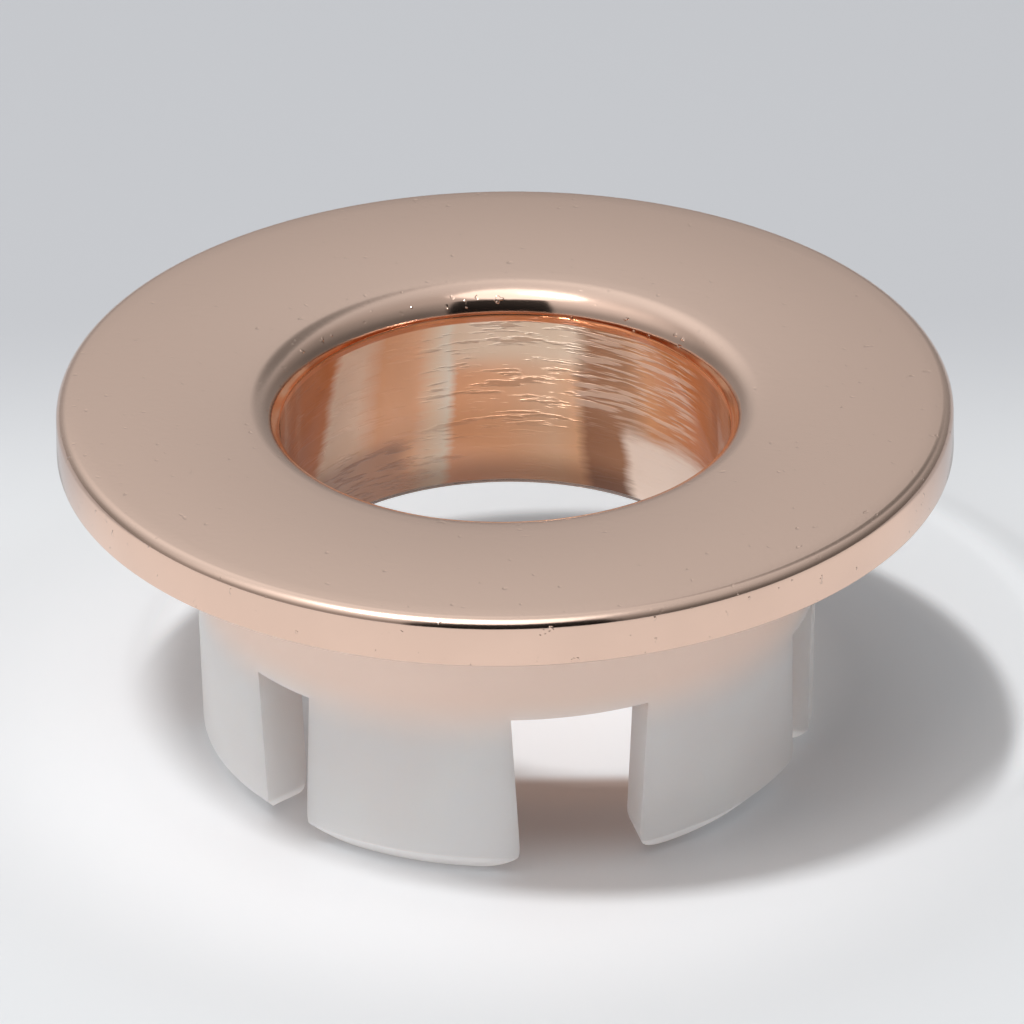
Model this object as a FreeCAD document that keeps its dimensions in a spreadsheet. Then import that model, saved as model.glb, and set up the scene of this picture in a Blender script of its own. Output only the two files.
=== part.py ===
import FreeCAD, Part
import os
import Sketcher

# Basin overflow cover: a plated metal ring and the plastic clip pressed on its sleeve.
# Millimetres. Z is the axis of the ring, and the clip stands on the plane Z = 0.

# Driving sizes, written once
SIZES = {
    # overall
    "overall_height": 12.6,
    # metal ring
    "flange_radius": 15.0,
    "rim_height": 1.8,
    "rim_round": 0.38,
    "bore_radius": 7.55,
    "lip_round": 1.0,
    "sleeve_wall": 0.92,
    "sleeve_length": 5.7,
    "sleeve_chamfer": 0.25,
    "root_round": 0.25,
    "seat_recess": 0.3,
    "recess_gap": 0.1,
    # plastic clip
    "press_clearance": 0.02,
    "collar_wall": 1.9,
    "collar_lead": 0.4,
    "foot_bevel": 0.8,
    "leg_draw_in": 0.15,
    "web_height": 4.65,
    "slot_rise": 0.42,
    "wide_gap_width": 4.7,
    "slot_width": 2.45,
    "leg_flare": 0.35,
    "foot_round": 1.2,
    "leg_places": 3,
    "leg_pairs": 2,
}

OUTPUT_FOLDER = "parts"


def fill_sheet(doc):
    """Write each driving size and the sizes worked out from them, every cell with its alias."""
    sheet = doc.addObject("Spreadsheet::Sheet", "Sizes")
    derived = {
        "seat_height": "=overall_height - rim_height",
        "sleeve_radius": "=bore_radius + sleeve_wall",
        "sleeve_end": "=overall_height - rim_height - sleeve_length",
        "collar_inside": "=bore_radius + sleeve_wall + press_clearance",
        "collar_outside": "=bore_radius + sleeve_wall + press_clearance + collar_wall",
        "recess_radius": "=bore_radius + sleeve_wall + press_clearance + collar_wall + recess_gap",
        "recess_height": "=overall_height - rim_height + seat_recess",
        "foot_outside": "=bore_radius + sleeve_wall + press_clearance + collar_wall - leg_draw_in",
        "wide_gap_height": "=overall_height - rim_height - web_height",
        "slot_height": "=overall_height - rim_height - web_height - slot_rise",
    }
    cells = list(SIZES.items()) + list(derived.items())
    for row, (alias, value) in enumerate(cells, start=1):
        sheet.set("A%d" % row, alias)
        sheet.set("B%d" % row, str(value))
        sheet.setAlias("B%d" % row, alias)
    doc.recompute()
    return sheet


def origin_feature(body, role):
    """The origin plane or axis of a body, such as XZ_Plane or Z_Axis."""
    for feature in body.Origin.OriginFeatures:
        if feature.Role == role:
            return feature
    raise ValueError("no origin feature " + role)


def new_sketch(body, name, role):
    """A sketch on one of the body's origin planes."""
    sketch = body.newObject("Sketcher::SketchObject", name)
    sketch.AttachmentSupport = [(origin_feature(body, role), "")]
    sketch.MapMode = "FlatFace"
    return sketch


def closed_outline(sketch, points):
    """Straight lines through the points, joined end to end and closed."""
    count = len(points)
    corners = [FreeCAD.Vector(x, y, 0) for x, y in points]
    for i in range(count):
        sketch.addGeometry(Part.LineSegment(corners[i], corners[(i + 1) % count]), False)
    for i in range(count):
        sketch.addConstraint(Sketcher.Constraint("Coincident", i, 2, (i + 1) % count, 1))


def bind_point(sketch, line, across, up):
    """Hold the start of a line at two sheet expressions, measured from the sketch's origin."""
    for kind, formula in (("DistanceX", across), ("DistanceY", up)):
        if formula == "0":
            other = -2 if kind == "DistanceX" else -1
            sketch.addConstraint(Sketcher.Constraint("PointOnObject", line, 1, other))
            continue
        point = sketch.getPoint(line, 1)
        start = point.x if kind == "DistanceX" else point.y
        index = sketch.addConstraint(Sketcher.Constraint(kind, -1, 1, line, 1, start))
        sketch.setExpression("Constraints[%d]" % index, formula)


def bound_outline(doc, sketch, formulas):
    """A closed outline whose corners each follow a pair of sheet formulas."""
    sheet = doc.getObject("Sizes")
    points = []
    for pair in formulas:
        points.append(tuple(evaluate(sheet, formula) for formula in pair))
    closed_outline(sketch, points)
    for line, (across, up) in enumerate(formulas):
        bind_point(sketch, line, across, up)
    doc.recompute()


def evaluate(sheet, formula):
    """The number that a sheet formula gives now."""
    value = sheet.evalExpression(formula.replace("Sizes.", ""))
    return float(getattr(value, "Value", value))


def ring_edges(shape, radius, height):
    """Names of the circular edges of this radius that lie at this height."""
    names = []
    for number, edge in enumerate(shape.Edges, start=1):
        curve = edge.Curve
        if not isinstance(curve, Part.Circle):
            continue
        if abs(curve.Radius - radius) < 1e-4 and abs(curve.Center.z - height) < 1e-4:
            names.append("Edge%d" % number)
    if not names:
        raise ValueError("no edge of radius %g at height %g" % (radius, height))
    return names


def round_or_chamfer(doc, body, kind, name, base, rings, size):
    """Round or chamfer the circular edges given as (radius, height), with a sheet size."""
    feature = body.newObject("PartDesign::" + kind, name)
    edges = []
    for radius, height in rings:
        edges += ring_edges(base.Shape, radius, height)
    feature.Base = (base, edges)
    feature.setExpression("Radius" if kind == "Fillet" else "Size", size)
    doc.recompute()
    return feature


def revolve_profile(doc, body, name, formulas):
    """Turn a closed outline in the XZ plane once round the Z axis."""
    sketch = new_sketch(body, name + "Profile", "XZ_Plane")
    bound_outline(doc, sketch, formulas)
    turned = body.newObject("PartDesign::Revolution", name)
    turned.Profile = sketch
    turned.ReferenceAxis = (origin_feature(body, "Z_Axis"), [""])
    turned.Angle = 360.0
    sketch.Visibility = False
    doc.recompute()
    return turned


def build_flange_ring(doc):
    """The turned ring: flange with a rounded rim, a rolled lip at the bore and a thin sleeve.

    A shallow recess under the flange takes the top of the clip, so the flange seats flat."""
    body = doc.addObject("PartDesign::Body", "FlangeRing")
    body.Label = "flange_ring"
    sheet = doc.getObject("Sizes")
    turned = revolve_profile(doc, body, "RingBlank", [
        ("Sizes.bore_radius", "Sizes.sleeve_end"),
        ("Sizes.sleeve_radius", "Sizes.sleeve_end"),
        ("Sizes.sleeve_radius", "Sizes.recess_height"),
        ("Sizes.recess_radius", "Sizes.recess_height"),
        ("Sizes.recess_radius", "Sizes.seat_height"),
        ("Sizes.flange_radius", "Sizes.seat_height"),
        ("Sizes.flange_radius", "Sizes.overall_height"),
        ("Sizes.bore_radius", "Sizes.overall_height"),
    ])
    bore = sheet.bore_radius
    sleeve = sheet.sleeve_radius
    top = sheet.overall_height
    lip = round_or_chamfer(doc, body, "Fillet", "BoreLip", turned, [(bore, top)], "Sizes.lip_round")
    rim = round_or_chamfer(
        doc, body, "Fillet", "RimEdge", lip, [(sheet.flange_radius, top)], "Sizes.rim_round")
    root = round_or_chamfer(
        doc, body, "Fillet", "SleeveRoot", rim, [(sleeve, sheet.recess_height)], "Sizes.root_round")
    round_or_chamfer(
        doc, body, "Chamfer", "SleeveEnd", root,
        [(bore, sheet.sleeve_end), (sleeve, sheet.sleeve_end)], "Sizes.sleeve_chamfer")
    return body


def gap_outline(width, height):
    """Half-open gap between two legs: narrower at the floor, where the legs flare."""
    half = "%s / 2" % width
    foot = "%s / 2 - Sizes.leg_flare" % width
    below = "-Sizes.foot_round"
    return [
        ("-(%s)" % half, height),
        ("-(%s)" % foot, "0"),
        ("-(%s)" % foot, below),
        (foot, below),
        (foot, "0"),
        (half, height),
    ]


def cut_gaps(doc, body, name, width, height, turn, count, sweep):
    """Cut one gap out through the wall, and repeat it over an angle round the axis."""
    sketch = new_sketch(body, name + "Outline", "XZ_Plane")
    sketch.AttachmentOffset = FreeCAD.Placement(
        FreeCAD.Vector(0, 0, 0), FreeCAD.Rotation(FreeCAD.Vector(0, 1, 0), turn))
    bound_outline(doc, sketch, gap_outline(width, height))
    before = body.Shape.Volume
    pocket = body.newObject("PartDesign::Pocket", name)
    pocket.Profile = sketch
    pocket.setExpression("Length", "Sizes.collar_outside + 1")
    pocket.Reversed = True
    sketch.Visibility = False
    doc.recompute()
    if not 0 < before - pocket.Shape.Volume < before / 4:
        raise ValueError(name + " does not cut the wall")
    pattern = body.newObject("PartDesign::PolarPattern", name + "Pattern")
    pattern.Originals = [pocket]
    pattern.Axis = (origin_feature(body, "Z_Axis"), [""])
    pattern.Angle = sweep
    pattern.setExpression("Occurrences", count)
    body.Tip = pattern
    doc.recompute()
    return pattern


def cut_open_place(doc, body, angle):
    """Leave one place at the back without legs, from the middle of one wide gap to the next."""
    sketch = new_sketch(body, "OpenPlaceOutline", "YZ_Plane")
    bound_outline(doc, sketch, [
        ("Sizes.collar_inside - 1", "-1"),
        ("Sizes.collar_outside + 1", "-1"),
        ("Sizes.collar_outside + 1", "Sizes.wide_gap_height"),
        ("Sizes.collar_inside - 1", "Sizes.wide_gap_height"),
    ])
    groove = body.newObject("PartDesign::Groove", "OpenPlace")
    groove.Profile = sketch
    groove.ReferenceAxis = (origin_feature(body, "Z_Axis"), [""])
    groove.Midplane = True
    groove.Angle = angle
    sketch.Visibility = False
    body.Tip = groove
    doc.recompute()


def build_clip_collar(doc):
    """The moulded clip: a collar round the sleeve, and spring legs in pairs below it.

    The legs draw in towards their bevelled feet, which lead the clip into the basin's hole.
    The pairs stand at all the places but one, which is left open for the water."""
    body = doc.addObject("PartDesign::Body", "ClipCollar")
    body.Label = "clip_collar"
    sheet = doc.getObject("Sizes")
    turned = revolve_profile(doc, body, "CollarBlank", [
        ("Sizes.collar_inside", "0"),
        ("Sizes.foot_outside - Sizes.foot_bevel", "0"),
        ("Sizes.foot_outside", "Sizes.foot_bevel"),
        ("Sizes.collar_outside", "Sizes.wide_gap_height"),
        ("Sizes.collar_outside", "Sizes.seat_height"),
        ("Sizes.collar_outside - Sizes.seat_recess", "Sizes.recess_height"),
        ("Sizes.collar_inside + Sizes.collar_lead", "Sizes.recess_height"),
        ("Sizes.collar_inside", "Sizes.recess_height - Sizes.collar_lead"),
    ])
    body.Tip = turned
    pitch = 360.0 / sheet.leg_places
    first_slot = -pitch * (sheet.leg_pairs - 1) / 2
    cut_gaps(
        doc, body, "WideGap", "Sizes.wide_gap_width", "Sizes.wide_gap_height", 0.0,
        "Sizes.leg_places", 360.0)
    cut_gaps(
        doc, body, "Slot", "Sizes.slot_width", "Sizes.slot_height", first_slot,
        "Sizes.leg_pairs", pitch * (sheet.leg_pairs - 1))
    cut_open_place(doc, body, pitch * (sheet.leg_places - sheet.leg_pairs))
    round_foot_corners(doc, body)
    return body


def round_foot_corners(doc, body):
    """Round the lower corners of each leg, seen from outside."""
    sheet = doc.getObject("Sizes")
    base = body.Tip
    outside = sheet.collar_outside
    names = []
    for number, edge in enumerate(base.Shape.Edges, start=1):
        ends = [vertex.Point for vertex in edge.Vertexes]
        if len(ends) != 2 or max(abs(end.z) for end in ends) > 1e-4:
            continue
        radii = sorted((end.x ** 2 + end.y ** 2) ** 0.5 for end in ends)
        if radii[1] - radii[0] > sheet.collar_wall / 4 and radii[1] < outside:
            names.append("Edge%d" % number)
    corners = body.newObject("PartDesign::Fillet", "FootCorners")
    corners.Base = (base, names)
    corners.setExpression("Radius", "Sizes.foot_round")
    doc.recompute()
    body.Tip = corners


def check_document(doc):
    """Stop if any object failed to compute."""
    for item in doc.Objects:
        if "Invalid" in item.State or "Error" in item.State:
            raise RuntimeError("%s did not compute: %s" % (item.Label, item.State))


def write_part(body):
    """Write one body as its own STEP file, named after its label."""
    shape = body.Shape
    if shape.isNull() or not shape.isValid() or len(shape.Solids) != 1:
        raise RuntimeError(body.Label + " is not one valid solid")
    shape.exportStep(os.path.join(OUTPUT_FOLDER, body.Label + ".step"))


def main():
    doc = FreeCAD.newDocument("BasinOverflowCover")
    fill_sheet(doc)
    bodies = [build_flange_ring(doc), build_clip_collar(doc)]
    doc.recompute()
    check_document(doc)
    os.makedirs(OUTPUT_FOLDER, exist_ok=True)
    for body in bodies:
        write_part(body)


main()
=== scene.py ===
import math
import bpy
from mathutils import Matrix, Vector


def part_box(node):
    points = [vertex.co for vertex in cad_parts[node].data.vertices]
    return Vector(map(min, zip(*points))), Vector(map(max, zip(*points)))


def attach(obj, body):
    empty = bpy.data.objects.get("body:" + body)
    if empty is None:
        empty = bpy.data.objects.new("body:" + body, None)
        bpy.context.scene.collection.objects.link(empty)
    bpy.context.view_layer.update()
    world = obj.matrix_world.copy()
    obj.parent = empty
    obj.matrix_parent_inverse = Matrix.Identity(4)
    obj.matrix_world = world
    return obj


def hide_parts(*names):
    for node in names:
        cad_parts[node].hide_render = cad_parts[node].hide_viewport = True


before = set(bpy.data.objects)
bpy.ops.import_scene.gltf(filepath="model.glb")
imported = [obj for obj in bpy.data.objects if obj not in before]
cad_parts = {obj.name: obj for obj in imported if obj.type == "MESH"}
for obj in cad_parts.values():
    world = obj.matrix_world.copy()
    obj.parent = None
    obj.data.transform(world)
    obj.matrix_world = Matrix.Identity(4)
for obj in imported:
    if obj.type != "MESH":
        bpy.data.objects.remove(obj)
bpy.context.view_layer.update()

from types import SimpleNamespace

import bmesh
import bpy
from bpy.props import FloatProperty, FloatVectorProperty, IntProperty, PointerProperty
from mathutils import Matrix, Vector

bl_info = {
    "name": "Basin Overflow Cover",
    "version": (1, 0, 0),
    "blender": (4, 5, 0),
    "location": "View3D > Sidebar > Overflow Cover",
    "description": "Builds the plated ring, the frosted clip and a small studio round them",
    "category": "Object",
}

MM = 0.001
RING_LOW, RING_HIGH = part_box("flange_ring")
CLIP_LOW, CLIP_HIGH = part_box("clip_collar")

# Painted reflections round the bore, as streaks across it from left to right: place, then colour
BORE_REFLECTION_STREAKS = [
    (0.0, (0.50, 0.15, 0.04)), (0.085, (0.72, 0.25, 0.08)), (0.108, (1.0, 0.75, 0.57)),
    (0.165, (1.0, 0.72, 0.53)), (0.215, (0.94, 0.48, 0.25)), (0.30, (1.0, 0.56, 0.33)),
    (0.34, (1.0, 0.76, 0.56)), (0.372, (1.0, 0.90, 0.76)), (0.390, (0.98, 0.50, 0.27)),
    (0.5, (1.0, 0.56, 0.33)), (0.60, (1.0, 0.66, 0.44)), (0.645, (1.0, 0.60, 0.36)),
    (0.670, (0.44, 0.21, 0.11)), (0.77, (0.54, 0.27, 0.14)), (0.82, (0.80, 0.36, 0.15)),
    (0.93, (0.70, 0.23, 0.07)), (1.0, (0.46, 0.14, 0.04)),
]
# Height at which the bore's marks are measured, and the bore's other colours: painted shade towards
# its lower end, painted highlights, and dark and light marks that carry painted shade and glints
MARKS_LEVEL = 8.7 * MM
LOW_SHADE = (0.36, 0.28, 0.22)
MIDDLE_SHADE = (0.80, 0.74, 0.68)
# Painted highlight low on the right of the bore
LOW_PAINTED_HIGHLIGHT = (1.0, 0.81, 0.68)
# Painted highlight high in the middle of the bore
HIGH_PAINTED_HIGHLIGHT = (1.0, 0.84, 0.66)
# Dark turning marks, and painted shade low on the left of the bore
DARK_MARKS_AND_SHADE = (0.36, 0.17, 0.09)
# Turning lines on the right of the bore, painted light as glints
LINE_GLINT = (1.0, 0.74, 0.58)
# Centres of discs on the floor, to the right of the axis and behind it, that place the
# painted shadow and painted light: the whole shadow, the part of it that the camera sees,
# and the light that falls through the bore
SHADOW_CENTRE = (3.5 * MM, 4.1 * MM)
KEPT_CENTRE = (1.9 * MM, -0.4 * MM)
SPOT_CENTRE = (2.6 * MM, 3.1 * MM)


# Shader maths

class Signal:
    """A shader value. Python operators on it add the Math nodes."""

    def __init__(self, graph, socket):
        self.graph = graph
        self.socket = socket

    def __add__(self, other):
        return self.graph.math("ADD", self, other)

    def __sub__(self, other):
        return self.graph.math("SUBTRACT", self, other)

    def __rsub__(self, other):
        return self.graph.math("SUBTRACT", other, self)

    def __mul__(self, other):
        return self.graph.math("MULTIPLY", self, other)

    def __truediv__(self, other):
        return self.graph.math("DIVIDE", self, other)

    def __pow__(self, other):
        return self.graph.math("POWER", self, other)

    def __neg__(self):
        return self.graph.math("MULTIPLY", self, -1.0)

    def __abs__(self):
        return self.graph.math("ABSOLUTE", self)

    __radd__ = __add__
    __rmul__ = __mul__


class Graph:
    """The node tree of a material or a world, written as expressions."""

    def __init__(self, owner):
        owner.use_nodes = True
        self.tree = owner.node_tree
        self.tree.nodes.clear()

    def node(self, kind, settings=None, inputs=None, output=0):
        """Add a node: its settings first, then the values or links of its sockets."""
        made = self.tree.nodes.new(kind)
        for name, value in (settings or {}).items():
            if name == "stops":
                self.set_stops(made.color_ramp, value)
            else:
                setattr(made, name, value)
        for name, value in (inputs or {}).items():
            self.feed(made.inputs[name], value)
        return Signal(self, made.outputs[output]) if len(made.outputs) else None

    def feed(self, socket, value):
        if isinstance(value, Signal):
            self.tree.links.new(value.socket, socket)
        else:
            socket.default_value = value

    def set_stops(self, ramp, stops):
        while len(ramp.elements) < len(stops):
            ramp.elements.new(1.0)
        for element, (place, colour) in zip(ramp.elements, stops):
            element.position = place
            element.color = (*colour, 1.0)

    def math(self, operation, first, second=0.0):
        return self.node("ShaderNodeMath", {"operation": operation}, {0: first, 1: second})

    def axis(self, vector, name):
        return self.node("ShaderNodeSeparateXYZ", None, {0: vector}, name)

    def ease(self, value, start, end):
        """0 before start, 1 after end, and a smooth step between them."""
        return self.node(
            "ShaderNodeMapRange", {"interpolation_type": "SMOOTHSTEP"},
            {"Value": value, "From Min": start, "From Max": end})

    def band(self, value, low, high, soft):
        """1 between low and high, easing to 0 over a soft width at each side."""
        return self.ease(value, low - soft, low) * (1.0 - self.ease(value, high, high + soft))

    def blend(self, factor, first, second, way="MIX"):
        """Mix two colours. Sockets 6, 7 and output 2 are the colour ones."""
        return self.node(
            "ShaderNodeMix", {"data_type": "RGBA", "blend_type": way},
            {"Factor": factor, 6: rgba(first), 7: rgba(second)}, 2)

    def measure(self, operation, vector, other=None):
        """A number taken from one vector or from two."""
        inputs = {0: vector} if other is None else {0: vector, 1: other}
        return self.node("ShaderNodeVectorMath", {"operation": operation}, inputs, "Value")

    def stretched(self, vector, scale):
        """Coordinates pulled apart by a scale on each axis."""
        return self.node("ShaderNodeMapping", None, {"Vector": vector, "Scale": scale})

    def noise(self, vector, scale, detail=2.0, roughness=0.5):
        return self.node(
            "ShaderNodeTexNoise", None,
            {"Vector": vector, "Scale": scale, "Detail": detail, "Roughness": roughness})

    def bump(self, height, distance, strength=1.0, normal=None):
        inputs = {"Height": height, "Distance": distance, "Strength": strength}
        if normal:
            inputs["Normal"] = normal
        return self.node("ShaderNodeBump", None, inputs)


def rgba(colour):
    """A colour as a socket takes it; a signal passes through."""
    return colour if isinstance(colour, Signal) else (*colour[:3], 1.0)


# Settings in the sidebar

class RingSettings(bpy.types.PropertyGroup):
    """Sizes and colours of the plated ring."""
    bore_radius: FloatProperty(
        name="Bore radius", description="Radius of the water way", default=7.55 * MM,
        unit="LENGTH")
    sleeve_radius: FloatProperty(
        name="Sleeve radius", description="Outside radius of the sleeve", default=8.47 * MM,
        unit="LENGTH")
    rim_height: FloatProperty(
        name="Rim height", description="Height of the flange's rim", default=1.8 * MM,
        unit="LENGTH")
    recess_radius: FloatProperty(
        name="Recess radius", description="Radius of the recess for the clip",
        default=10.49 * MM, unit="LENGTH")
    recess_depth: FloatProperty(
        name="Recess depth", description="Depth of the recess for the clip",
        default=0.3 * MM, unit="LENGTH")
    lip_round: FloatProperty(
        name="Lip rounding", description="Radius of the rolled lip at the bore",
        default=1.0 * MM, unit="LENGTH")
    rim_round: FloatProperty(
        name="Rim rounding", description="Radius of the rim's upper edge",
        default=0.38 * MM, unit="LENGTH")
    under_round: FloatProperty(
        name="Under rounding", description="Radius of the rim's lower edge",
        default=0.08 * MM, unit="LENGTH")
    end_chamfer: FloatProperty(
        name="End chamfer", description="Chamfer at the sleeve's lower end",
        default=0.25 * MM, unit="LENGTH")
    crown: FloatProperty(
        name="Crown", description="How far the face falls from its middle to its edges",
        default=0.1 * MM, unit="LENGTH")
    view_turn: FloatProperty(
        name="Streaks turn", description="Where the streaks in the bore begin",
        default=math.radians(13.6), subtype="ANGLE")
    plating: FloatVectorProperty(
        name="Plating", description="Colour of the rose gold plate", subtype="COLOR",
        default=(0.78, 0.555, 0.445), min=0.0, max=1.0)
    # Painted light: the same plate painted lighter on the face than on the sides
    lit_face_plating: FloatVectorProperty(
        name="Face plating", description="Colour of the satin face", subtype="COLOR",
        default=(0.92, 0.685, 0.565), min=0.0, max=1.0)
    # Painted reflection: the deep orange that light bouncing under the lip gives
    deep_reflection_plating: FloatVectorProperty(
        name="Deep plating", description="Colour of the plate under the lip",
        subtype="COLOR", default=(0.70, 0.24, 0.09), min=0.0, max=1.0)


class ClipSettings(bpy.types.PropertyGroup):
    """Sizes and colours of the frosted clip."""
    inside_radius: FloatProperty(
        name="Inside radius", description="Inside radius of the clip", default=8.49 * MM,
        unit="LENGTH")
    wall: FloatProperty(
        name="Wall", description="Wall of the collar", default=1.9 * MM, unit="LENGTH")
    register: FloatProperty(
        name="Register", description="How far the collar enters the flange's recess",
        default=0.3 * MM, unit="LENGTH")
    lead: FloatProperty(
        name="Lead", description="Chamfer that leads the collar on to the sleeve",
        default=0.4 * MM, unit="LENGTH")
    draw_in: FloatProperty(
        name="Draw in", description="How far the legs draw in at their feet",
        default=0.15 * MM, unit="LENGTH")
    foot_bevel: FloatProperty(
        name="Foot bevel", description="Bevel outside each foot", default=0.8 * MM,
        unit="LENGTH")
    foot_round: FloatProperty(
        name="Foot rounding", description="Rounding of the lower corners of each leg",
        default=1.2 * MM, unit="LENGTH")
    web_height: FloatProperty(
        name="Web height", description="Height of the closed collar above the wide gaps",
        default=4.65 * MM, unit="LENGTH")
    slot_rise: FloatProperty(
        name="Slot rise", description="How much lower the slots end than the wide gaps",
        default=0.42 * MM, unit="LENGTH")
    wide_gap: FloatProperty(
        name="Wide gap", description="Width of the gap between two pairs of legs",
        default=4.7 * MM, unit="LENGTH")
    slot: FloatProperty(
        name="Slot", description="Width of the slot inside a pair of legs",
        default=2.45 * MM, unit="LENGTH")
    flare: FloatProperty(
        name="Leg flare", description="How much each side of a leg widens to its foot",
        default=0.35 * MM, unit="LENGTH")
    places: IntProperty(
        name="Places", description="Number of even places round the clip", default=3, min=2)
    pairs: IntProperty(
        name="Pairs of legs", description="How many places have a pair of legs", default=2,
        min=1)
    edge_round: FloatProperty(
        name="Edge rounding", description="Soft edge that the mould leaves",
        default=0.06 * MM, unit="LENGTH")
    plastic: FloatVectorProperty(
        name="Plastic", description="Colour of the frosted plastic", subtype="COLOR",
        default=(0.97, 0.935, 0.92), min=0.0, max=1.0)
    # Painted reflection: the plated sleeve painted in where it would show through the plastic
    sleeve_seen_through: FloatVectorProperty(
        name="Sleeve tint", description="Colour where the plated sleeve shows through",
        subtype="COLOR", default=(0.90, 0.70, 0.60), min=0.0, max=1.0)
    # Painted glow: emission at the feet that stands for light carried down through the plastic
    foot_glow: FloatVectorProperty(
        name="Foot glow", description="Light that the plastic carries down to its feet",
        subtype="COLOR", default=(0.16, 0.152, 0.148), min=0.0, max=1.0)


class StudioSettings(bpy.types.PropertyGroup):
    """Camera, lamps and floor."""
    view_turn: FloatProperty(
        name="View turn", description="How far the camera stands to the left of the gap",
        default=math.radians(13.6), subtype="ANGLE")
    view_rise: FloatProperty(
        name="View rise", description="Height of the camera above the floor, as an angle",
        default=math.radians(29.2), subtype="ANGLE")
    view_roll: FloatProperty(
        name="View roll", description="Tilt of the camera about its own axis",
        default=math.radians(-0.59), subtype="ANGLE")
    view_distance: FloatProperty(
        name="View distance", description="Distance from the camera to the ring",
        default=801.7 * MM, unit="LENGTH")
    aim_right: FloatProperty(
        name="Aim right", description="Where the view's centre lies, right of the axis",
        default=0.244 * MM, unit="LENGTH")
    aim_down: FloatProperty(
        name="Aim down", description="Where the view's centre lies, below the face",
        default=3.783 * MM, unit="LENGTH")
    lens: FloatProperty(
        name="Lens", description="Focal length", default=843.75, unit="CAMERA")
    key_power: FloatProperty(
        name="Key lamp", description="Power of the key lamp", default=1.9, unit="POWER")
    key_width: FloatProperty(
        name="Key width", description="Width of the key lamp", default=110 * MM,
        unit="LENGTH")
    key_depth: FloatProperty(
        name="Key depth", description="Depth of the key lamp from front to back",
        default=65 * MM, unit="LENGTH")
    key_left: FloatProperty(
        name="Key left", description="How far the key lamp leans left, for each unit of height",
        default=0.29)
    key_front: FloatProperty(
        name="Key front",
        description="How far the key lamp leans forward, for each unit of height",
        default=0.34)
    key_distance: FloatProperty(
        name="Key distance", description="Distance from the key lamp to the floor",
        default=600 * MM, unit="LENGTH")
    surround: FloatProperty(
        name="Surround", description="Strength of the light from all round", default=0.75)
    softbox: FloatProperty(
        name="Softbox", description="Brightness of the box high in front", default=2.2)
    floor_radius: FloatProperty(
        name="Floor radius", description="Radius of the floor", default=3.0, unit="LENGTH")
    # Painted light: the floor painted lighter round the cover, where its shade falls
    floor_lightened_round_cover: FloatVectorProperty(
        name="Floor under the cover", description="Colour of the floor round the cover",
        subtype="COLOR", default=(0.87, 0.895, 0.92), min=0.0, max=1.0)
    floor_near: FloatVectorProperty(
        name="Floor, near", description="Colour of the floor in front", subtype="COLOR",
        default=(0.72, 0.74, 0.76), min=0.0, max=1.0)
    floor_mirrored: FloatVectorProperty(
        name="Floor, mirrored", description="Colour of the floor as the metal mirrors it",
        subtype="COLOR", default=(0.84, 0.855, 0.87), min=0.0, max=1.0)
    floor_far: FloatVectorProperty(
        name="Floor, far", description="Colour of the floor behind", subtype="COLOR",
        default=(0.52, 0.533, 0.56), min=0.0, max=1.0)
    # Painted shade: a warm darker patch on the floor in the front gap
    floor_gap_shade: FloatVectorProperty(
        name="Floor, warm", description="Colour of the floor in the front gap's shade",
        subtype="COLOR", default=(0.54, 0.44, 0.395), min=0.0, max=1.0)
    # Painted shadow: colour that darkens the floor in the shadow's core
    floor_core: FloatVectorProperty(
        name="Floor, core", description="Colour that darkens the floor inside the shadow",
        subtype="COLOR", default=(0.22, 0.29, 0.37), min=0.0, max=1.0)
    # Painted light: emission seen by the camera only, lifting the floor where the shadow is cut off
    floor_lift: FloatVectorProperty(
        name="Floor lift", description="Light added where the shadow is cut off behind",
        subtype="COLOR", default=(0.38, 0.39, 0.40), min=0.0, max=1.0)


# Modelling

def spun_outline(corners, steps):
    """A closed outline of (radius, height) corners, spun once round the Z axis."""
    made = bmesh.new()
    points = [made.verts.new((radius, 0.0, height)) for radius, height in corners]
    sides = [made.edges.new((points[i - 1], points[i])) for i in range(len(points))]
    bmesh.ops.spin(
        made, geom=points + sides, cent=(0, 0, 0), axis=(0, 0, 1), dvec=(0, 0, 0),
        angle=2 * math.pi, steps=steps, use_merge=True, use_duplicate=False)
    bmesh.ops.recalc_face_normals(made, faces=made.faces)
    return made


def circle_edges(made, radius, height):
    """The edges that run round the axis at this radius and height."""
    close = 0.01 * MM

    def on_circle(vert):
        return abs(vert.co.xy.length - radius) < close and abs(vert.co.z - height) < close

    return [edge for edge in made.edges if all(on_circle(vert) for vert in edge.verts)]


def soften(made, edges, size, segments):
    """Bevel edges to a round of this size."""
    bmesh.ops.bevel(
        made, geom=edges, offset=size, offset_type="OFFSET", segments=segments,
        profile=0.5, affect="EDGES", material=-1, clamp_overlap=False)


def finished_piece(made, name, material):
    """Turn a bmesh into an object with smooth faces and its material."""
    mesh = bpy.data.meshes.new(name)
    for face in made.faces:
        face.smooth = True
    made.to_mesh(mesh)
    made.free()
    piece = bpy.data.objects.new(name, mesh)
    bpy.context.collection.objects.link(piece)
    mesh.materials.append(material)
    return piece


def even_normals(piece):
    """Keep the flat faces flat in the shading, beside their rounded edges."""
    weighted = piece.modifiers.new("even_normals", "WEIGHTED_NORMAL")
    weighted.mode = "FACE_AREA"
    weighted.weight = 50
    weighted.keep_sharp = False


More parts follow.
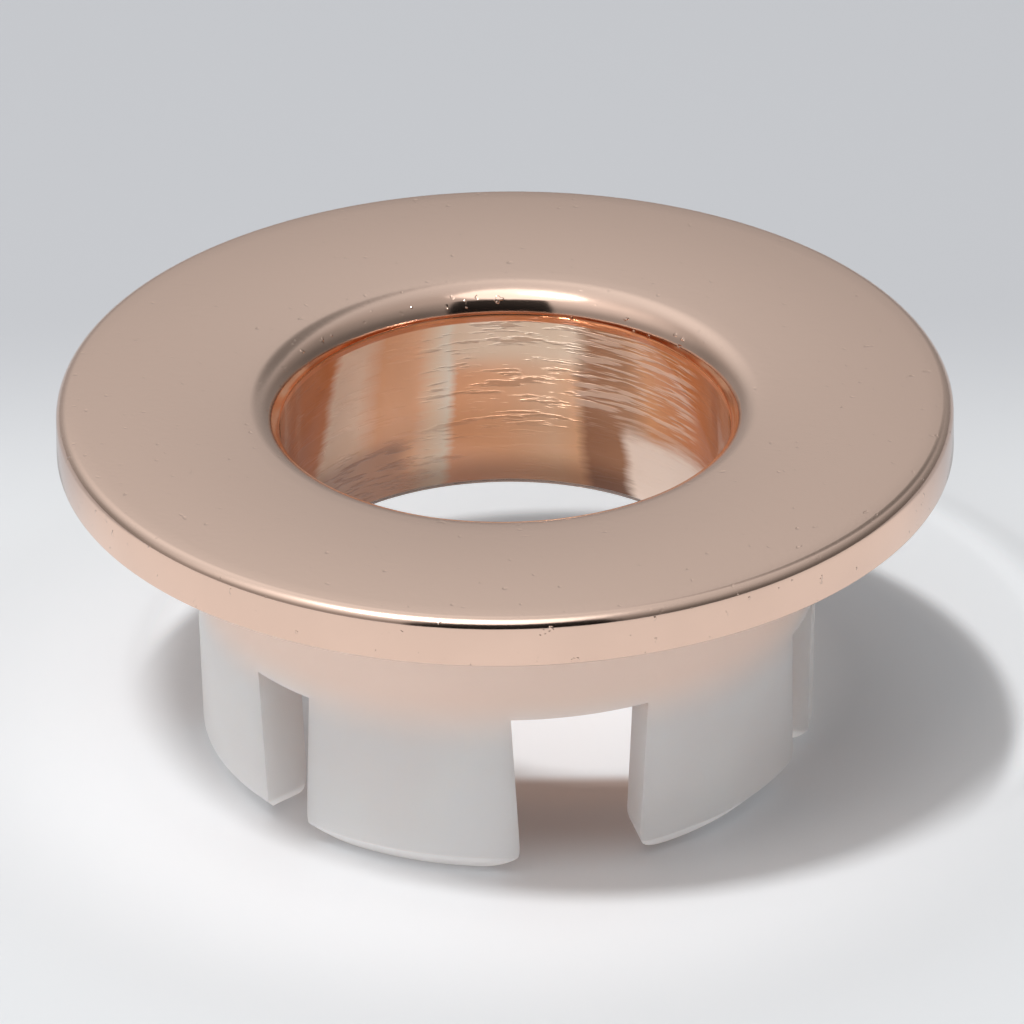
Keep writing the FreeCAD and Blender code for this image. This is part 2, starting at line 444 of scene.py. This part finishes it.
def ring_mesh(size):
    """The ring's turned body with its rolled lip, rounded rim and crowned face."""
    top, end = RING_HIGH[2], RING_LOW[2]
    rim = RING_HIGH[0]
    seat = top - size.rim_height
    made = spun_outline([
        (size.bore_radius, end), (size.sleeve_radius, end),
        (size.sleeve_radius, seat + size.recess_depth),
        (size.recess_radius, seat + size.recess_depth),
        (size.recess_radius, seat), (rim, seat), (rim, top), (size.bore_radius, top),
    ], 256)
    soften(made, circle_edges(made, size.bore_radius, top), size.lip_round, 14)
    soften(made, circle_edges(made, rim, top), size.rim_round, 10)
    soften(made, circle_edges(made, rim, seat), size.under_round, 3)
    soften(made, circle_edges(made, size.bore_radius, end), size.end_chamfer, 2)
    soften(made, circle_edges(made, size.sleeve_radius, end), size.end_chamfer, 2)
    crown_face(made, size, top, rim)
    return made


def crown_face(made, size, top, rim):
    """Divide the flat face into rings and let it fall a little to both its edges."""
    across = []
    for edge in made.edges:
        ends = sorted(vert.co.xy.length for vert in edge.verts)
        level = min(vert.co.z for vert in edge.verts)
        if level > top - 0.01 * MM and ends[1] - ends[0] > (rim - size.bore_radius) / 2:
            across.append(edge)
    bmesh.ops.subdivide_edges(made, edges=across, cuts=11, use_grid_fill=True)
    middle = (rim + size.bore_radius) / 2
    half = (rim - size.bore_radius) / 2
    for vert in made.verts:
        if vert.co.z > top - size.rim_height / 2:
            share = (vert.co.xy.length - middle) / half
            vert.co.z -= size.crown * min(share ** 2, 1.0)


def clip_blank(size):
    """The clip before its gaps are cut."""
    outside = size.inside_radius + size.wall
    foot = outside - size.draw_in
    top = CLIP_HIGH[2]
    return spun_outline([
        (size.inside_radius, 0.0), (foot - size.foot_bevel, 0.0), (foot, size.foot_bevel),
        (outside, gap_height(size)), (outside, top - size.register),
        (outside - size.register, top),
        (size.inside_radius + size.lead, top), (size.inside_radius, top - size.lead),
    ], 192)


def gap_height(size):
    """Height of the wide gaps above the feet."""
    return CLIP_HIGH[2] - size.register - size.web_height


def grown_block(outline, vector):
    """A block: a closed outline, moved along a vector."""
    made = bmesh.new()
    face = made.faces.new([made.verts.new(point) for point in outline])
    grown = bmesh.ops.extrude_face_region(made, geom=[face])
    moved = [item for item in grown["geom"] if isinstance(item, bmesh.types.BMVert)]
    bmesh.ops.translate(made, verts=moved, vec=vector)
    return made


def gap_cutter(size, width, height, turn):
    """A block in the shape of one gap: it rounds the corners of the legs beside it."""
    top, foot, below = width / 2, width / 2 - size.flare, -2 * size.foot_round
    reach = foot + 2 * size.foot_round
    outline = [
        (-top, height), (-foot, 0.0), (-reach, 0.0), (-reach, below),
        (reach, below), (reach, 0.0), (foot, 0.0), (top, height),
    ]
    near, far = -2 * MM, -(size.inside_radius + size.wall + 2 * MM)
    made = grown_block([(x, near, z) for x, z in outline], (0.0, far, 0.0))
    close = 0.001 * MM

    def at_corner(vert):
        return abs(vert.co.z) < close and abs(abs(vert.co.x) - foot) < close

    corners = [
        edge for edge in made.edges
        if edge.calc_length() > MM and all(at_corner(vert) for vert in edge.verts)
        and abs(edge.verts[0].co.y - edge.verts[1].co.y) > MM]
    soften(made, corners, size.foot_round, 8)
    bmesh.ops.recalc_face_normals(made, faces=made.faces)
    bmesh.ops.rotate(made, verts=made.verts, matrix=Matrix.Rotation(turn, 3, "Z"))
    return made


def open_place_cutter(size, height):
    """A wedge round the back that takes away the legs of the open place."""
    reach = 2 * (size.inside_radius + size.wall)
    half = math.pi / size.places * (size.places - size.pairs)
    side, back = reach * math.sin(half), reach * math.cos(half)
    outline = [(0.0, 0.0), (side, back), (0.0, 2 * reach), (-side, back)]
    under = 2 * MM
    made = grown_block([(x, y, -under) for x, y in outline], (0.0, 0.0, under + height))
    bmesh.ops.recalc_face_normals(made, faces=made.faces)
    return made


def cut_all(made, cutters, name, material):
    """Cut the blocks out of a blank with a Boolean modifier, and keep the result."""
    piece = finished_piece(made, name, material)
    blocks = []
    for number, cutter in enumerate(cutters):
        block = finished_piece(cutter, "cutter_%d" % number, material)
        blocks.append(block)
        cut = piece.modifiers.new("gap_%d" % number, "BOOLEAN")
        cut.operation = "DIFFERENCE"
        cut.solver = "EXACT"
        cut.object = block
    seen = piece.evaluated_get(bpy.context.evaluated_depsgraph_get())
    piece.data = bpy.data.meshes.new_from_object(seen)
    piece.modifiers.clear()
    for block in blocks:
        bpy.data.objects.remove(block)
    return piece


# Finishes

def principled(graph, **inputs):
    """A Principled shader wired to the output. Names are given with underscores."""
    named = {name.replace("_", " "): value for name, value in inputs.items()}
    shader = graph.node("ShaderNodeBsdfPrincipled", None, named)
    graph.node("ShaderNodeOutputMaterial", None, {"Surface": shader})
    return shader


def ring_fields(graph, size):
    """Where the parts of the ring lie, and the noises that their finish shares."""
    place = graph.node("ShaderNodeTexCoord", None, None, "Object")
    across, along, height = (graph.axis(place, name) for name in "XYZ")
    radius = (across * across + along * along) ** 0.5
    top = RING_HIGH[2]
    lip_end = top - size.lip_round
    wall = 1.0 - graph.ease(radius, size.bore_radius, size.bore_radius + 0.06 * MM)
    at = SimpleNamespace(place=place)
    at.bore = wall * (1.0 - graph.ease(height, lip_end - 0.05 * MM, lip_end + 0.1 * MM))
    # Band at the foot of the lip where the painted deep reflection lies
    at.undercut = wall * graph.band(
        height, lip_end - 0.16 * MM, lip_end + 0.16 * MM, 0.05 * MM)
    at.face = graph.ease(height, top - 0.35 * MM, top - 0.12 * MM)
    at.edges = (1.0 - at.face) * (1.0 - at.bore)
    turn = size.view_turn
    at.sideways = (across * math.cos(turn) - along * math.sin(turn)) / radius
    at.rise = (height - MARKS_LEVEL) / MM
    at.cloud = graph.noise(place, 260.0, 3.0)
    at.marks = graph.noise(graph.stretched(place, (1.0, 1.0, 9.0)), 620.0, 3.0, 0.6)
    at.strokes = graph.noise(graph.stretched(place, (1.0, 1.0, 16.0)), 520.0, 2.0, 0.6)
    return at


def bore_marks(graph, at):
    """Turning marks: short dashes in the middle and low on the left, lines on the right, and the
    masks of the painted shade low on the left, the painted highlight high in the middle and the
    painted streak.
    """
    middle = graph.band(at.sideways, -0.28, 0.30, 0.12) * graph.ease(at.rise, -1.8, -0.6)
    low = 1.0 - graph.ease(at.rise, -1.8, -1.0)
    # Mask of the painted shade low on the left of the bore
    at.low_left = low * graph.band(at.sideways, -0.8, -0.52, 0.12)
    dashed = middle + 0.8 * low * graph.band(at.sideways, -0.8, -0.25, 0.1)
    right = graph.band(at.sideways, 0.35, 0.80, 0.08) * graph.ease(at.rise, -1.4, 0.2)
    # Mask of the painted highlight high in the middle of the bore
    at.high = graph.ease(at.rise, 0.6, 1.7) * graph.band(at.sideways, -0.2, 0.3, 0.1)
    at.streak = graph.band(at.sideways, -0.37, -0.25, 0.05)
    at.dashes = graph.ease(at.marks, 0.54, 0.62) * dashed
    at.lines = right * graph.ease(at.strokes, 0.47, 0.58)
    at.scored = graph.ease(at.marks, 0.52, 0.62) * (0.25 + dashed) + 0.6 * at.lines


def bore_colour(graph, at):
    """Painted reflection streaks round the bore, painted shade darker towards its lower end,
    painted highlights, and the turning marks.
    """
    around = at.sideways * (1.0 + 0.035 * at.rise) + 0.10 * (at.cloud - 0.5)
    around = around + 0.05 * (at.marks - 0.5) + 0.03 * (at.strokes - 0.5)
    # Painted reflections: the streak colours round the bore
    colour = graph.node(
        "ShaderNodeValToRGB", {"stops": BORE_REFLECTION_STREAKS}, {"Fac": 0.5 + 0.5 * around})
    # Painted shade: the bore darker towards its lower end
    shade = graph.blend(graph.ease(at.rise, -3.2, -2.0), LOW_SHADE, MIDDLE_SHADE)
    shade = graph.blend(graph.ease(at.rise, -1.4, 0.1), shade, (1.0, 1.0, 1.0))
    colour = graph.blend(1.0, colour, shade, "MULTIPLY")
    # Painted highlight: a light patch low on the right of the bore
    low = 1.0 - graph.ease(at.rise + 0.8 * (at.marks - 0.5), -1.3, -0.5)
    colour = graph.blend(low * graph.band(around, 0.52, 0.86, 0.06), colour, LOW_PAINTED_HIGHLIGHT)
    # Painted highlight high in the middle of the bore
    colour = graph.blend(0.8 * at.high, colour, HIGH_PAINTED_HIGHLIGHT)
    # Dark turning marks, and painted shade low on the left of the bore
    colour = graph.blend(0.4 * at.dashes + 0.8 * at.low_left, colour, DARK_MARKS_AND_SHADE)
    # Turning lines on the right of the bore, painted light as glints
    return graph.blend(0.6 * at.lines, colour, LINE_GLINT)


def plate_colour(graph, at, size):
    """The plate's colour on the sides; the face painted lighter, the bore's painted reflections and
    the painted deep reflection under the lip.
    """
    darker = [part * 0.95 for part in size.plating]
    colour = graph.blend(graph.ease(at.cloud, 0.3, 0.7), size.plating, darker)
    # Painted light: the face's plate painted lighter
    colour = graph.blend(at.face, colour, size.lit_face_plating)
    colour = graph.blend(at.bore, colour, bore_colour(graph, at))
    # Painted reflection: deep orange under the lip
    return graph.blend(at.undercut, colour, size.deep_reflection_plating)


def plate_roughness(at):
    """Satin on the face, bright on the edges, and smooth in the bore."""
    satin = 0.22 + 0.05 * at.cloud
    bright = 0.09 + 0.05 * at.cloud
    smooth = 0.30 + 0.06 * at.cloud
    return satin * at.face + bright * at.edges + smooth * at.bore * (1.0 - at.face)


def plate_relief(graph, at, size):
    """Grain, pits, ripples and specks, and the bore's turning marks and slight taper."""
    grain = graph.noise(at.place, 5200.0, 2.0)
    pits = graph.ease(graph.noise(at.place, 3400.0, 1.0), 0.72, 0.8)
    ripple = graph.noise(at.place, 900.0, 2.0)
    specks = graph.ease(graph.noise(at.place, 2600.0, 2.0), 0.69, 0.74)
    waviness = graph.noise(graph.stretched(at.place, (1.0, 1.0, 0.6)), 420.0, 1.0)
    lip_rise = (RING_HIGH[2] - size.lip_round - MARKS_LEVEL) / MM
    taper = at.bore * (0.05 * waviness - 0.05 * (at.rise - lip_rise))
    normal = graph.bump(grain * at.face, 0.004 * MM, 0.5)
    normal = graph.bump(1.0 - pits, 0.012 * MM, 0.5, normal)
    normal = graph.bump(ripple * at.edges, 0.02 * MM, 0.5, normal)
    normal = graph.bump(specks * at.edges, 0.05 * MM, 0.5, normal)
    normal = graph.bump(taper, MM, 1.0, normal)
    return graph.bump(at.bore * at.scored, 0.06 * MM, 0.6, normal)


def plated_metal(size):
    """Rose gold plate: a satin face, a bright rim and a bore with turning marks and painted
    reflections.
    """
    material = bpy.data.materials.new("rose_gold_plate")
    graph = Graph(material)
    at = ring_fields(graph, size)
    bore_marks(graph, at)
    # The bore has less Metallic so that its painted reflections show, least where the painted
    # streak and highlight lie
    principled(
        graph, Base_Color=plate_colour(graph, at, size),
        Metallic=1.0 - at.bore * (0.65 + 0.35 * at.streak + 0.2 * at.high),
        Roughness=plate_roughness(at), Normal=plate_relief(graph, at, size),
        Coat_Weight=at.bore, Coat_Roughness=0.05)
    return material


def frosted_plastic(size):
    """Frosted translucent plastic with a fine matt skin, the plated sleeve painted in where it
    shows through, and a painted glow at the feet.
    """
    material = bpy.data.materials.new("frosted_plastic")
    graph = Graph(material)
    place = graph.node("ShaderNodeTexCoord", None, None, "Object")
    height = graph.axis(place, "Z")
    cloud = graph.noise(place, 190.0, 2.0)
    darker = [part * 0.94 for part in size.plastic]
    colour = graph.blend(graph.ease(cloud, 0.3, 0.7), size.plastic, darker)
    # Painted reflection of the sleeve through the plastic: its colour, with some Metallic, on the
    # clip's upper part
    seen = graph.ease(height + 0.3 * MM * cloud, 4.7 * MM, 7.2 * MM)
    colour = graph.blend(seen, colour, size.sleeve_seen_through)
    # Painted glow: emission at the feet that stands for light carried down through the plastic
    foot = 1.0 - graph.ease(height, size.foot_bevel - 0.3 * MM, size.foot_bevel + 0.1 * MM)
    glow = graph.blend(foot, (0.0, 0.0, 0.0), size.foot_glow)
    skin = graph.noise(place, 2600.0, 3.0)
    principled(
        graph, Base_Color=colour, Metallic=0.6 * seen, Roughness=0.42 + 0.08 * skin, IOR=1.49,
        Transmission_Weight=0.2, Subsurface_Weight=0.85, Subsurface_Scale=2.0 * MM,
        Subsurface_Radius=(1.0, 0.95, 0.9), Normal=graph.bump(skin, 0.01 * MM, 0.35),
        Emission_Color=glow, Emission_Strength=1.0)
    return material


def studio_floor(studio, right, behind):
    """A pale floor, darker towards the back and painted lighter round the cover, with painted shade
    in the front gap and the shadow's core, and painted light that cuts the shadow off behind for
    the camera.
    """
    material = bpy.data.materials.new("studio_floor")
    graph = Graph(material)
    place = graph.node("ShaderNodeTexCoord", None, None, "Object")
    seen = graph.node("ShaderNodeLightPath", None, None, "Is Camera Ray")
    side = graph.measure("DOT_PRODUCT", place, right)
    depth = graph.measure("DOT_PRODUCT", place, behind)
    near = graph.blend(seen, studio.floor_mirrored, studio.floor_near)
    # Painted light: the floor painted lighter round the cover
    colour = graph.blend(
        graph.ease(graph.measure("LENGTH", place), 13 * MM, 21 * MM), studio.floor_lightened_round_cover, near)
    # Painted shade: a warm darker patch on the floor in the front gap
    warm = graph.ease(depth, -10 * MM, -6.5 * MM) * (1.0 - graph.ease(depth, -4 * MM, -3.2 * MM))
    warm = warm * (1.0 - graph.ease(abs(side - 2 * MM), 2 * MM, 5 * MM))
    colour = graph.blend(warm, colour, studio.floor_gap_shade)
    far = graph.ease(depth + 10 * MM * (1.0 - seen), 13 * MM, 30 * MM)
    colour = graph.blend(far, colour, studio.floor_far)
    shadow, kept, spot = (
        graph.measure("DISTANCE", place, right * across + behind * back)
        for across, back in (SHADOW_CENTRE, KEPT_CENTRE, SPOT_CENTRE))
    # Painted shadow: the floor darkened inside the shadow's core, outside the light through the
    # bore
    core = (1.0 - graph.ease(shadow, 11 * MM, 15.5 * MM)) * graph.ease(spot, 7.5 * MM, 9.5 * MM)
    core = core * (1.0 - graph.ease(kept, 14 * MM, 15.5 * MM))
    colour = graph.blend(0.2 * core, colour, studio.floor_core)
    # Painted light: emission seen by the camera only, lifting the floor where the shadow is cut off
    cut = (1.0 - graph.ease(shadow, 14.6 * MM, 16.4 * MM)) * graph.ease(kept, 14.7 * MM, 15.7 * MM)
    lift = graph.blend(seen * cut, (0.0, 0.0, 0.0), studio.floor_lift)
    principled(
        graph, Base_Color=colour, Roughness=0.6, Emission_Color=lift, Emission_Strength=1.0)
    return material


# Operators

class COVER_OT_ring(bpy.types.Operator):
    """Model the plated ring with its rolled lip"""
    bl_idname = "cover.ring"
    bl_label = "Plated Ring"

    def execute(self, context):
        size = context.scene.cover_ring
        piece = finished_piece(ring_mesh(size), "plated_ring", plated_metal(size))
        even_normals(piece)
        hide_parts("flange_ring")
        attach(piece, "root")
        return {"FINISHED"}


class COVER_OT_clip(bpy.types.Operator):
    """Model the frosted clip with its spring legs"""
    bl_idname = "cover.clip"
    bl_label = "Frosted Clip"

    def execute(self, context):
        size = context.scene.cover_clip
        gap = gap_height(size)
        pitch = 2 * math.pi / size.places
        cutters = [
            gap_cutter(size, size.wide_gap, gap, number * pitch)
            for number in range(size.places)]
        for number in range(size.pairs):
            turn = (number - (size.pairs - 1) / 2) * pitch
            cutters.append(gap_cutter(size, size.slot, gap - size.slot_rise, turn))
        cutters.append(open_place_cutter(size, gap))
        piece = cut_all(clip_blank(size), cutters, "frosted_clip", frosted_plastic(size))
        edge = piece.modifiers.new("moulded_edge", "BEVEL")
        edge.limit_method = "ANGLE"
        edge.angle_limit = math.radians(35)
        edge.width = size.edge_round
        edge.segments = 2
        even_normals(piece)
        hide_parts("clip_collar")
        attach(piece, "root")
        return {"FINISHED"}


def floor_axes(studio):
    """Directions along the floor as the camera sees them: to the right, and away."""
    turn = studio.view_turn
    return Vector((math.cos(turn), -math.sin(turn), 0)), Vector((math.sin(turn), math.cos(turn), 0))


def view_axes(studio):
    """Right, up and back directions of the camera."""
    right, behind = floor_axes(studio)
    back = Vector((0, 0, math.sin(studio.view_rise))) - behind * math.cos(studio.view_rise)
    up = back.cross(right)
    roll = Matrix.Rotation(studio.view_roll, 3, back)
    return roll @ right, roll @ up, back


def add_camera(context, studio):
    """A distant camera with a long lens, high in front."""
    right, up, back = view_axes(studio)
    data = bpy.data.cameras.new("camera")
    data.lens = studio.lens
    data.clip_end = 20.0
    camera = bpy.data.objects.new("camera", data)
    context.collection.objects.link(camera)
    centre = Vector((0.0, 0.0, RING_HIGH[2]))
    aim = centre + right * studio.aim_right - up * studio.aim_down
    turned = Matrix((right, up, back)).transposed().to_4x4()
    camera.matrix_world = Matrix.Translation(aim + back * studio.view_distance) @ turned
    context.scene.camera = camera


def add_key_lamp(context, studio, right, behind):
    """A lamp high in front and to the left."""
    towards = (Vector((0, 0, 1)) - right * studio.key_left - behind * studio.key_front).normalized()
    depthwise = towards.cross(right).normalized()
    widthwise = depthwise.cross(towards)
    data = bpy.data.lights.new("key_lamp", "AREA")
    data.shape = "ELLIPSE"
    data.size = studio.key_width
    data.size_y = studio.key_depth
    data.energy = studio.key_power
    lamp = bpy.data.objects.new("key_lamp", data)
    context.collection.objects.link(lamp)
    turned = Matrix((widthwise, depthwise, towards)).transposed().to_4x4()
    lamp.matrix_world = Matrix.Translation(towards * studio.key_distance) @ turned


def add_surround(context, studio, right, behind):
    """Light from all round: a bright box high in front, and dark cards in front and behind."""
    world = bpy.data.worlds.new("studio_surround")
    context.scene.world = world
    graph = Graph(world)
    way = graph.node("ShaderNodeTexCoord", None, None, "Generated")
    rise = graph.axis(way, "Z")
    side = graph.measure("DOT_PRODUCT", way, right)
    away = graph.measure("DOT_PRODUCT", way, behind)
    front = -away
    light = 0.36 + 0.5 * graph.ease(rise, 0.2, 0.75) + 0.25 * graph.ease(rise, 0.6, 0.85)
    light = light * (0.9 - 0.3 * graph.ease(side, -0.8, 0.8))
    light = light * (1.0 + 0.6 * graph.ease(front - 0.8 * side, 0.2, 0.9))
    light = light * (1.0 + 0.5 * graph.ease(away, 0.2, 0.8))
    box = (Vector((0, 0, 1)) - 0.1 * right - 0.42 * behind).normalized()
    softbox = graph.ease(graph.measure("DOT_PRODUCT", way, box), 0.92, 0.95)
    light = light * (1.0 - softbox) + studio.softbox * softbox
    card = (
        graph.ease(front, 0.25, 0.3) * (1.0 - graph.ease(abs(side / front - 0.03), 0.46, 0.5))
        * (1.0 - graph.ease(rise, 0.70, 0.75)))
    light = light * (1.0 - 0.95 * card)
    flag = (Vector((0, 0, 0.67)) + 0.31 * right + 0.67 * behind).normalized()
    light = light * (1.0 - 0.75 * graph.ease(graph.measure("DOT_PRODUCT", way, flag), 0.95, 0.985))
    glow = graph.node("ShaderNodeBackground", None, {"Color": light, "Strength": studio.surround})
    graph.node("ShaderNodeOutputWorld", None, {"Surface": glow})


class COVER_OT_studio(bpy.types.Operator):
    """Set up the floor, the lamps and the camera"""
    bl_idname = "cover.studio"
    bl_label = "Studio"

    def execute(self, context):
        studio = context.scene.cover_studio
        right, behind = floor_axes(studio)
        made = bmesh.new()
        bmesh.ops.create_circle(made, cap_ends=True, segments=96, radius=studio.floor_radius)
        floor = finished_piece(made, "studio_floor", studio_floor(studio, right, behind))
        add_key_lamp(context, studio, right, behind)
        add_surround(context, studio, right, behind)
        add_camera(context, studio)
        context.scene.view_settings.view_transform = "Standard"
        return {"FINISHED"}


class COVER_PT_panel(bpy.types.Panel):
    """Lists the settings and the pieces"""
    bl_idname = "COVER_PT_panel"
    bl_label = "Overflow Cover"
    bl_space_type = "VIEW_3D"
    bl_region_type = "UI"
    bl_category = "Overflow Cover"

    def draw(self, context):
        for settings, operator in (
                ("cover_ring", COVER_OT_ring), ("cover_clip", COVER_OT_clip),
                ("cover_studio", COVER_OT_studio)):
            box = self.layout.box()
            group = getattr(context.scene, settings)
            for name in group.__annotations__:
                box.prop(group, name)
            box.operator(operator.bl_idname)


CLASSES = (
    RingSettings, ClipSettings, StudioSettings,
    COVER_OT_ring, COVER_OT_clip, COVER_OT_studio, COVER_PT_panel,
)
SETTINGS = {
    "cover_ring": RingSettings, "cover_clip": ClipSettings, "cover_studio": StudioSettings,
}


def register():
    for cls in CLASSES:
        bpy.utils.register_class(cls)
    for name, group in SETTINGS.items():
        setattr(bpy.types.Scene, name, PointerProperty(type=group))


def unregister():
    for name in SETTINGS:
        delattr(bpy.types.Scene, name)
    for cls in reversed(CLASSES):
        bpy.utils.unregister_class(cls)


def main():
    register()
    bpy.ops.cover.ring()
    bpy.ops.cover.clip()
    bpy.ops.cover.studio()


if __name__ == "__main__":
    main()
